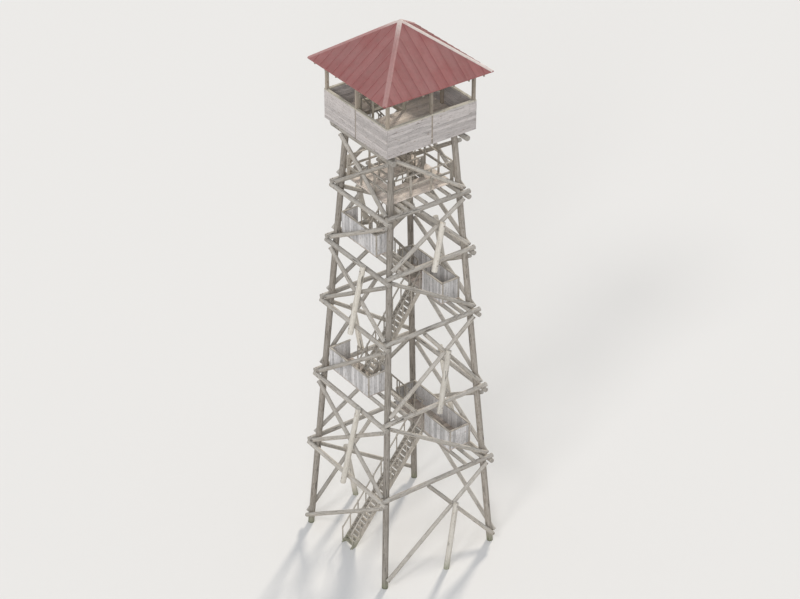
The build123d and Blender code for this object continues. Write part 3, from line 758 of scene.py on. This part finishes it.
shorter = minus(tree, given["Length"], times(tree, given["Ragged"], chance(0.0, 2.0, 200)))
lower = times(tree, given["Uneven"], chance(-1.0, 1.0, 300))
row = stored(tree, row, "tone", chance(0.0, 1.0, 100))
row = shape(tree, "SetPosition", row, sockets={"Offset": point(tree, 0.0, 0.0, lower)})
boards = spread(tree, row, board, Scale=point(tree, shorter, 1.0, 1.0))
grain = vector_sums(tree, "ADD", here(tree), scaled(tree, OWN_WOOD, read(tree, "tone")))
boards = stored(tree, boards, "grain", grain, kind="FLOAT_VECTOR")
boards = stored(tree, boards, "end", end_faces(tree), domain="FACE")
close_tree(tree, shape(tree, "SetShadeSmooth", boards, None, False), given)
print("tree:", board_tree.name, len(board_tree.nodes), "nodes")

# %% Turn a panel into a row of boards
def panel_row(panel, along, up, material, seed, **sizes):
    """Fills a panel's box with boards that run along one of its axes."""
    i_along, i_up = [max((round(abs(axis.dot(way)), 3), i) for i, axis in enumerate(panel.axes))[1]
                     for way in (along, up)]
    i_across = 3 - i_along - i_up
    mesh = grow(board_tree, material, seed=seed, length=panel.size[i_along], width=panel.size[i_across],
                thickness=panel.size[i_up], **sizes)
    x, z = panel.axes[i_along], panel.axes[i_up]
    if z.dot(up) < 0:
        z = -z
    turn = Matrix((x, z.cross(x), z)).transposed().to_4x4()
    mesh.transform(Matrix.Translation(panel.middle) @ turn)
    return mesh


# %% [markdown]
# ## Squared timber
# Posts, rails, stringers, treads and rafters keep the outline of their solids. Their edges are eased
# with a small bevel that catches the light, and each solid gets its own place in the wood.

# %% Bevelled copies
END_FACING = 0.6


def squared(node, material, bevel=0.004, wanted=lambda solid: True):
    """A bevelled copy of the wanted solids of a node, with the attributes that the woods read."""
    bm = merged(node)
    owner = bm.faces.layers.int.new("owner")
    found = [(shell, measured(shell)) for shell in shells(bm)]
    kept = [(shell, solid) for shell, solid in found if wanted(solid)]
    dropped = [face for shell, solid in found if not wanted(solid) for face in shell]
    for number, (shell, solid) in enumerate(kept):
        for face in shell:
            face[owner] = number
    bmesh.ops.delete(bm, geom=dropped, context="FACES")
    if bevel:
        bmesh.ops.bevel(bm, geom=bm.edges, offset=bevel, offset_type="OFFSET", segments=1, profile=0.5,
                        affect="EDGES", clamp_overlap=True)
    grain = bm.verts.layers.float_vector.new("grain")
    tone = bm.verts.layers.float.new("tone")
    end = bm.faces.layers.float.new("end")
    tones = [RNG.random() for _ in kept]
    for face in bm.faces:
        solid = kept[face[owner]][1]
        own_tone = tones[face[owner]]
        face[end] = 1.0 if abs(face.normal.dot(solid.axes[0])) > END_FACING else 0.0
        for vert in face.verts:
            place = vert.co - solid.middle
            in_wood = Vector([place.dot(axis) for axis in solid.axes])
            vert[grain] = in_wood + Vector(OWN_WOOD) * own_tone
            vert[tone] = own_tone
    bm.faces.layers.int.remove(owner)
    mesh = bpy.data.meshes.new(node)
    bm.to_mesh(mesh)
    bm.free()
    mesh.materials.append(material)
    return mesh


# %% [markdown]
# ## Landings and guards
# The deck boards run from front to back, square to the joists that carry them. The guard panels
# are upright boards behind a top rail, with a post at each end.

# %% Landings
UP = Vector((0, 0, 1))
FRONT_BACK = Vector((0, 1, 0))
THICKEST_PANEL, NARROWEST_PANEL = 0.06, 0.3


def is_log(solid):
    return solid.size[1] / solid.size[2] < LOG_SIDES_RATIO


def is_panel(solid):
    """A panel of boards is broad and thin."""
    return solid.size[2] < THICKEST_PANEL and solid.size[1] > NARROWEST_PANEL


def is_timber(solid):
    return not is_panel(solid)


def outward(panel):
    """The side of an upright panel that looks away from the tower."""
    thin = panel.axes[2]
    return thin if thin.dot(Vector((panel.middle.x, panel.middle.y, 0))) > 0 else -thin


for number, level in enumerate("abcde"):
    node = f"landing_{level}"
    # The top landing gets the paler boards, which are painted sunlight.
    floor_board = painted_light_board if level == "a" else deck_board
    rows = [panel_row(panel, FRONT_BACK, UP, floor_board, seed=10 * number + i, uneven=0.0015, ragged=0.008)
            for i, panel in enumerate(s for s in solids(node) if not is_log(s))]
    joists = grow(log_tree, beam_log, axis_mesh(log_axes(node)), seed=3, bend=STIFF, taper=0.03)
    piece(f"{node}_joists", [joists], [node])
    piece(f"{node}_boards", rows, [node])
    node = f"guard_{level}"
    rows = [panel_row(panel, UP, outward(panel), guard_board, seed=70 + 10 * number + i, board_width=0.12,
                      gap=0.012, uneven=0.003, ragged=0.012, supports=2)
            for i, panel in enumerate(s for s in solids(node) if is_panel(s))]
    piece(f"{node}_timbers", [squared(node, stair_timber, wanted=is_timber)], [node])
    if rows:
        piece(f"{node}_boards", rows, [node])

# %% [markdown]
# ## Stair
# Each flight has two sawn stringers, plank treads and a handrail on balusters.

# %% Flights
for number in range(1, 7):
    node = f"flight_{number}"
    piece(f"{node}_timbers", [squared(node, stair_timber)], [node])

# %% [markdown]
# ## Cabin
# The cabin's walls are lying boards in two lengths that meet on the middle post, where a dark gap
# shows. A pale rail lies on top of them. Joists, posts and plates are darker squared timber.

# %% Cabin
MIDDLE_GAP = 0.08


def lying_boards(node, seed):
    """Two lengths of lying boards that leave a gap in the middle of a wall."""
    panel = next(s for s in solids(node) if is_panel(s))
    sideways = panel.axes[0] if abs(panel.axes[0].z) < 0.5 else panel.axes[1]
    long_way = 0 if sideways is panel.axes[0] else 1
    half = panel.size[long_way] / 2
    rows = []
    for hand in (-1, 1):
        size = panel.size.copy()
        size[long_way] = half - MIDDLE_GAP / 2
        middle = panel.middle + sideways * hand * (half + MIDDLE_GAP / 2) / 2
        part = SimpleNamespace(axes=panel.axes, size=size, middle=middle)
        rows.append(panel_row(part, sideways, outward(panel), parapet_board, seed=seed + hand,
                              board_width=0.14, gap=0.006, uneven=0.0015, ragged=0.003))
    return rows


for number, side in enumerate(SIDES):
    node = f"parapet_{side}"
    piece(f"{node}_boards", lying_boards(node, 200 + 10 * number), [node])
    rail = squared(node, rail_timber, bevel=0.006, wanted=is_timber)
    piece(f"{node}_rail", [rail], [node])
# The cabin floor gets the paler boards, painted light against the shade of the roof.
rows = [panel_row(panel, FRONT_BACK, UP, painted_light_board, seed=300 + i, ragged=0.0)
        for i, panel in enumerate(solids("cabin_floor"))]
piece("cabin_floor_boards", rows, ["cabin_floor"])
piece("hatch_guard_timbers", [squared("hatch_guard", rail_timber)], ["hatch_guard"])
for node in ("cabin_joists", "cabin_posts", "wall_plates", "rafters"):
    piece(f"{node}_timbers", [squared(node, cabin_timber)], [node])

# %% [markdown]
# ## Roof
# Each slope is boarding under painted sheets. The sheets run from eave to hip and are folded
# together in standing seams, so a slope shows a row of thin ribs. The slopes are alike: one is made
# at the front and turned to each side.

# %% Roof slopes
SEAM_SPACING, SEAM_WIDTH, SEAM_HEIGHT = 0.5, 0.012, 0.020
SHORTEST_SEAM = 0.02
SHEET = 0.003
DRIP = 0.06
CAP_FLANGE = 0.11
LINING_GAP = 0.004
HIP_ROLL = 0.026
low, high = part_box("roof_front")
eave = -low.y
apex_z = high.z
slope_faces = merged("roof_front")
top_face = max(slope_faces.faces, key=lambda f: (f.normal.z > 0, f.calc_area()))
eave_z = min(v.co.z for v in top_face.verts)
slope_faces.free()
pitch = (apex_z - eave_z) / eave
stretch = math.hypot(1, pitch)
lining_depth = (eave_z - low.z) / stretch
up_slope, off_slope = Vector((0, 1, pitch)) / stretch, Vector((0, -pitch, 1)) / stretch
print("roof: eave", round(eave, 3), "at", round(eave_z, 3), "apex", round(apex_z, 3))

seam_tree, given = shape_tree("standing_seams", width=0.012, height=0.026, spacing=0.5, reach=2.9,
                              stretch=1.2, short=0.15)
tree = seam_tree
per_side = sums(tree, "FLOOR", over(tree, minus(tree, given["Reach"], given["Short"]), given["Spacing"]))
count = sums(tree, "MULTIPLY_ADD", per_side, 2.0, 1.0)
first = times(tree, times(tree, per_side, given["Spacing"]), -1.0)
seams = shape(tree, "MeshLine", count, None, point(tree, first, 0.0, 0.0),
              point(tree, given["Spacing"], 0.0, 0.0))
rib = rounded_bar(tree, given["Width"], given["Height"], times(tree, given["Width"], 0.3), (0.0, 0.0, 0.0),
                  (0.0, 1.0, 0.0))
aside = sums(tree, "ABSOLUTE", split(tree, here(tree))["X"])
run = minus(tree, minus(tree, given["Reach"], aside), given["Short"])
run = times(tree, sums(tree, "MAXIMUM", run, SHORTEST_SEAM), given["Stretch"])
seams = spread(tree, seams, rib, Scale=point(tree, 1.0, run, 1.0))
down_slope = vector_sums(tree, "MULTIPLY", here(tree), (0.0, 1.0, 0.0))
seams = stored(tree, seams, "grain", down_slope, kind="FLOAT_VECTOR")
seams = stored(tree, seams, "tone", 0.5)
close_tree(tree, shape(tree, "SetShadeSmooth", seams, None, False), given)


def sheet_mesh(seed):
    """Sheets of the front slope, one from seam to seam, with a drip edge folded down at the eave."""
    meshes = []
    per_side = int((eave - CAP_FLANGE) / SEAM_SPACING)
    lines = [-eave] + [i * SEAM_SPACING for i in range(-per_side, per_side + 1)] + [eave]
    shades = random.Random(seed)
    for left, right in zip(lines, lines[1:]):
        bm = bmesh.new()
        flat = [(left, -eave), (right, -eave), (right, -abs(right)), (left, -abs(left))]
        flat = [p for i, p in enumerate(flat) if p != flat[i - 1]]
        face = bm.faces.new([bm.verts.new((x, y, eave_z + (eave + y) * pitch)) for x, y in flat])
        solid = bmesh.ops.extrude_face_region(bm, geom=[face])
        lifted = [g for g in solid["geom"] if isinstance(g, bmesh.types.BMVert)]
        bmesh.ops.translate(bm, verts=lifted, vec=off_slope * SHEET)
        lip = bmesh.ops.create_cube(bm, size=1.0)["verts"]
        bmesh.ops.scale(bm, vec=(right - left, SHEET, DRIP), verts=lip)
        bmesh.ops.translate(bm, verts=lip,
                            vec=((left + right) / 2, -eave - SHEET / 2, eave_z - DRIP / 2 + SHEET))
        bmesh.ops.recalc_face_normals(bm, faces=bm.faces)
        grain = bm.verts.layers.float_vector.new("grain")
        tone = bm.verts.layers.float.new("tone")
        shade = shades.random()
        for vert in bm.verts:
            vert[grain] = Vector((vert.co.dot(up_slope), vert.co.x, 9 * shade))
            vert[tone] = shade
        mesh = bpy.data.meshes.new("sheet")
        bm.to_mesh(mesh)
        bm.free()
        mesh.materials.append(roof_sheet)
        meshes.append(mesh)
    return meshes


def lining_mesh(seed):
    """Boards under the front slope, cut off along both hips."""
    lining = grow(board_tree, cabin_timber, length=2 * eave, width=eave * stretch - 0.02,
                  thickness=lining_depth - LINING_GAP, board_width=0.15, gap=0.01, ragged=0.0, supports=0,
                  seed=seed)
    middle = Vector((0, -eave / 2, (eave_z + apex_z) / 2)) - off_slope * (lining_depth / 2)
    lining.transform(Matrix.Translation(middle) @ tilt)
    bm = bmesh.new()
    bm.from_mesh(lining)
    for hand in (-1, 1):
        bmesh.ops.bisect_plane(bm, geom=[*bm.verts, *bm.edges, *bm.faces], plane_co=(0, -0.001, 0),
                               plane_no=(hand, 1, 0), clear_outer=True)
        bmesh.ops.holes_fill(bm, edges=[e for e in bm.edges if e.is_boundary])
    bm.to_mesh(lining)
    bm.free()
    return lining


tilt = Matrix.Rotation(math.atan(pitch), 4, "X")
for quarter, side in enumerate(SIDES):
    turn = Matrix.Rotation(quarter * math.pi / 2, 4, "Z")
    seams = grow(seam_tree, roof_sheet, width=SEAM_WIDTH, height=SEAM_HEIGHT, spacing=SEAM_SPACING,
                 reach=eave, stretch=stretch, short=CAP_FLANGE * 1.6)
    on_sheet = Matrix.Translation((0, 0, SEAM_HEIGHT / 2))
    seams.transform(Matrix.Translation((0, -eave, eave_z)) @ tilt @ on_sheet)
    sheets, lining = [seams, *sheet_mesh(quarter)], lining_mesh(400 + quarter)
    for mesh in (*sheets, lining):
        mesh.transform(turn)
    piece(f"roof_{side}_sheets", sheets, [f"roof_{side}"])
    piece(f"roof_{side}_boards", [lining], [f"roof_{side}"])
apex = Vector((0, 0, apex_z))
roll_lines = []
for x, y in ((-1, -1), (1, -1), (1, 1), (-1, 1)):
    corner = Vector((x * eave, y * eave, eave_z))
    roll_lines.append(SimpleNamespace(start=corner.lerp(apex, 0.01), end=corner.lerp(apex, 0.95),
                                      radius=HIP_ROLL, tone=0.5))
rolls = grow(log_tree, roof_cap, axis_mesh(roll_lines), sides=12, spacing=0.5, bend=0.0, lumps=0.0, taper=0.0)
piece("hip_cap_strips", [squared("hip_caps", roof_cap, bevel=0.0), rolls], ["hip_caps"])

# %% [markdown]
# ## Bolts
# Where two logs lie against each other, a threaded rod runs through both, with a washer and a nut
# at each end. Two straight axes have one shortest line between them. If that line is as long as the
# two radii together, the logs touch there, and the line is the rod.

# %% Bolts where logs touch
TOUCH = 0.03
CLEAR = 0.004
SEAT = 0.955
BURIED = 0.98
WASHER, NUT, ROD = (0.032, 0.005), (0.0165, 0.016), (0.010, 0.034)
bolt_tree, given = shape_tree("bolt_ends", washer_radius=WASHER[0], washer_height=WASHER[1],
                              nut_radius=NUT[0], nut_height=NUT[1], rod_radius=ROD[0], rod_height=ROD[1])
tree = bolt_tree


def standing(name, sides):
    """A cylinder that stands on the wood, with the radius and height of its name."""
    height = given[f"{name} Height"]
    body = shape(tree, "MeshCylinder", sides, None, None, given[f"{name} Radius"], height)
    lift = point(tree, 0.0, 0.0, times(tree, height, 0.5))
    return shape(tree, "Transform", body, sockets={"Translation": lift})


parts = joined(tree, standing("Washer", 18), standing("Nut", 6), standing("Rod", 8))
facing = add(tree, "FunctionNodeAlignRotationToVector", axis="Z",
             sockets={"Vector": read(tree, "out", "FLOAT_VECTOR")})
close_tree(tree, spread(tree, given["Geometry"], parts, Rotation=facing), given)


def nearest(first, second):
    """Where two axes come closest: a place on each, or None past their ends."""
    u, v = first.end - first.start, second.end - second.start
    w = first.start - second.start
    a, b, c, d, e = u.dot(u), u.dot(v), v.dot(v), u.dot(w), v.dot(w)
    flat = a * c - b * b
    if flat < 1e-6 * a * c:
        return None
    s, t = (b * e - c * d) / flat, (a * e - b * d) / flat
    if not (0 < s < 1 and 0 < t < 1):
        return None
    return first.start + u * s, second.start + v * t


def covered(place, others):
    """True if a place lies inside another log."""
    for log in others:
        axis = log.end - log.start
        share = (place - log.start).dot(axis) / axis.dot(axis)
        if 0 <= share <= 1 and (place - (log.start + axis * share)).length < log.radius * BURIED:
            return True
    return False


places, directions = [], []
for i, first in enumerate(all_logs):
    for second in all_logs[i + 1:]:
        found = nearest(first, second)
        if not found:
            continue
        between = found[0] - found[1]
        if abs(between.length - first.radius - second.radius) > TOUCH:
            continue
        out = between.normalized()
        for log, on_axis, way in ((first, found[0], out), (second, found[1], -out)):
            place = on_axis + way * (log.radius * SEAT)
            reach = place + way * ROD[1]
            past = [max(low - r, r - high) + CLEAR for low, r, high in zip(cad_box[0], reach, cad_box[1])]
            place -= way * max(0.0, *past)
            others = [o for o in all_logs if o is not log]
            if not covered(place + way * NUT[1], others):
                places.append(place)
                directions.append(way)
bolt_points = bpy.data.meshes.new("bolt_points")
bolt_points.from_pydata(places, [], [])
out = bolt_points.attributes.new("out", "FLOAT_VECTOR", "POINT")
for item, direction in zip(out.data, directions):
    item.vector = direction
piece("bolts", [grow(bolt_tree, bolt_steel, bolt_points)])
print("bolt ends:", len(places))

# %% [markdown]
# ## Light, floor and camera
# A plain pale floor and soft light show the tower as in a studio. Two soft lamps shine from the
# camera's side, and a warm one from behind on the left, like a low sun. The camera stands where the
# photographer stood, high to the right of the front, and looks at the tower's middle through a long
# lens.

# %% Floor and light
FLOOR_SIZE = 900.0
PALE = (0.77, 0.77, 0.765, 1.0)
AMBIENT = (0.42, 0.435, 0.455, 1.0)
bpy.ops.mesh.primitive_plane_add(size=FLOOR_SIZE, location=(0, 0, 0))
floor = bpy.context.object
floor.name = "studio_floor"
floor_material, tree, surface = empty_material("studio_floor", (0.8, 0.8, 0.8, 1))
for label, value in (("Base Color", PALE), ("Roughness", 0.9), ("Specular IOR Level", 0.0)):
    surface.inputs[label].default_value = value
floor.data.materials.append(floor_material)

world = bpy.data.worlds.new("studio")
scene.world = world
world.use_nodes = True
tree = world.node_tree
rays = add(tree, "ShaderNodeLightPath").outputs
seen = sums(tree, "ADD", rays["Is Glossy Ray"], rays["Is Transmission Ray"])
seen = sums(tree, "ADD", rays["Is Camera Ray"], seen, clamp=True)
feed(tree, mix(tree, seen, AMBIENT, PALE), tree.nodes["Background"].inputs["Color"])


def sun(name, strength, toward, softness, color):
    """A distant lamp that shines toward a direction."""
    light = bpy.data.lights.new(name, "SUN")
    light.energy = strength
    light.angle = math.radians(softness)
    light.color = color
    lamp = bpy.data.objects.new(name, light)
    lamp.rotation_euler = Vector(toward).to_track_quat("-Z", "Y").to_euler()
    scene.collection.objects.link(lamp)


sun("key", 0.60, (-0.30, 0.70, -0.70), 12, (1.0, 0.97, 0.94))
sun("fill", 1.25, (-0.68, 0.60, -0.42), 25, (0.95, 0.96, 1.0))
sun("rim", 2.60, (0.50, -0.73, -0.46), 8, (1.0, 0.92, 0.81))

# %% Camera
CAMERA_PLACE = Vector((76.1, -54.7, 73.6))
AIM = Vector((0, 0, 13.9))
LENS = 105.0
camera_data = bpy.data.cameras.new("camera")
camera_data.lens = LENS
camera_data.clip_end = 2000.0
camera = bpy.data.objects.new("camera", camera_data)
camera.location = CAMERA_PLACE
camera.rotation_euler = (AIM - CAMERA_PLACE).to_track_quat("-Z", "Y").to_euler()
scene.collection.objects.link(camera)
scene.camera = camera
scene.view_settings.view_transform = "Standard"
